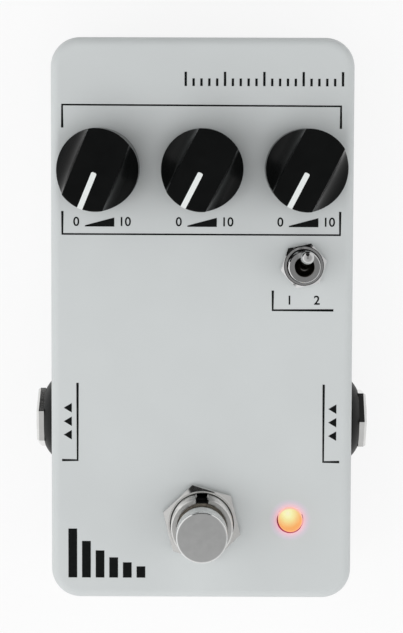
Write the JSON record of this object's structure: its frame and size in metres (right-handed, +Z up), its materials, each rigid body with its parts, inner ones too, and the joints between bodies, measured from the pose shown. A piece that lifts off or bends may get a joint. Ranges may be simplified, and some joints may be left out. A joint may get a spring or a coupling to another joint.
{
  "type": "echo effects pedal",
  "caption": "Compact floor effects pedal: die-cast case, scooped pointer knobs, bat toggle, footswitch, lit lamp, side phone jacks and a rear power socket.",
  "frame": {"origin": "middle of the case, on the surface that the rubber feet stand on", "axes": "+X to the player's right (input side), +Y from the footswitch to the knob end, +Z up out of the control face"},
  "size_m": [0.0676, 0.1124, 0.0474],
  "materials": {
    "case_paint": "powder coated, fine texture",
    "plate_paint": "powder coated, fine texture",
    "screw_steel": "zinc plated",
    "foot_rubber": "matt",
    "knob_black": "polished moulding",
    "pointer_white": "filled line",
    "shaft_metal": "turned",
    "pot_plastic": "moulded",
    "nickel": "nickel plated",
    "lever_chrome": "polished plating",
    "toggle_plastic": "moulded",
    "switch_plastic": "moulded",
    "cap_chrome": "polished plating",
    "spring_steel": "drawn wire",
    "tinned_metal": "tinned",
    "lamp_lens": "clear lens, lit from inside",
    "spacer_nylon": "moulded nylon",
    "jack_plastic": "moulded",
    "collar_black": "moulded",
    "jack_nickel": "nickel plated",
    "contact_bronze": "spring temper",
    "socket_plastic": "moulded",
    "board_green": "solder mask",
    "cable_grey": "flat cable",
    "chip_black": "moulded",
    "can_aluminium": "sleeved can"
  },
  "bodies": {
    "case": {"enclosure": "case_paint", "base_plate": "plate_paint", "lid_screws": "screw_steel", "rubber_feet": "foot_rubber", "pot_bushings": "nickel", "pot_washers": "nickel", "pot_nuts": "nickel", "pot_pins": "tinned_metal", "toggle_body": "toggle_plastic", "toggle_bushing": "nickel", "toggle_nut": "nickel", "toggle_washer": "nickel", "toggle_seat_washer": "nickel", "toggle_pins": "tinned_metal", "footswitch_body": "switch_plastic", "footswitch_bushing": "nickel", "footswitch_spring": "spring_steel", "footswitch_nut": "nickel", "footswitch_inner_nut": "nickel", "footswitch_lugs": "tinned_metal", "led_lens": "lamp_lens", "led_leads": "tinned_metal", "led_spacer": "spacer_nylon", "jack_links": "tinned_metal", "power_jack_body": "socket_plastic", "power_jack_pin": "nickel", "power_jack_contact": "contact_bronze", "main_board": "board_green", "switch_board": "board_green", "ribbon_cable": "cable_grey", "echo_chip": "chip_black", "voltage_regulator": "chip_black", "capacitors": "can_aluminium", "small_parts": "chip_black", "mix_pot_body": "pot_plastic", "speed_pot_body": "pot_plastic", "repeats_pot_body": "pot_plastic", "input_jack_body": "jack_plastic", "input_jack_sleeve": "jack_nickel", "input_jack_collar": "collar_black", "input_jack_contacts": "contact_bronze", "input_jack_nut": "jack_nickel", "output_jack_body": "jack_plastic", "output_jack_sleeve": "jack_nickel", "output_jack_collar": "collar_black", "output_jack_contacts": "contact_bronze", "output_jack_nut": "jack_nickel"},
    "mix_control": {"mix_knob": "knob_black", "mix_pointer": "pointer_white", "mix_pot_shaft": "shaft_metal"},
    "speed_control": {"speed_knob": "knob_black", "speed_pointer": "pointer_white", "speed_pot_shaft": "shaft_metal"},
    "repeats_control": {"repeats_knob": "knob_black", "repeats_pointer": "pointer_white", "repeats_pot_shaft": "shaft_metal"},
    "toggle_arm": {"toggle_lever": "lever_chrome"},
    "footswitch_cap": {"footswitch_plunger": "cap_chrome"}
  },
  "joints": [
    {"name": "mix_turn", "type": "hinge", "parent": "case", "child": "mix_control", "pos_m": [-0.0202, 0.03015, 0.033], "axis": [0, 0, 1], "range_deg": [-300, 0]},
    {"name": "speed_turn", "type": "hinge", "parent": "case", "child": "speed_control", "pos_m": [0, 0.03015, 0.033], "axis": [0, 0, 1], "range_deg": [-300, 0]},
    {"name": "repeats_turn", "type": "hinge", "parent": "case", "child": "repeats_control", "pos_m": [0.0202, 0.03015, 0.033], "axis": [0, 0, 1], "range_deg": [-300, 0]},
    {"name": "toggle_throw", "type": "hinge", "parent": "case", "child": "toggle_arm", "pos_m": [0.02, 0.01115, 0.03505], "axis": [1, 0, 0], "range_deg": [0, 25.8]},
    {"name": "footswitch_press", "type": "slide", "parent": "case", "child": "footswitch_cap", "axis": [0, 0, -1], "range_m": [0, 0.003], "stiffness_N_per_m": 2500, "springref_m": -0.002, "deforming": ["footswitch_spring"]}
  ]
}
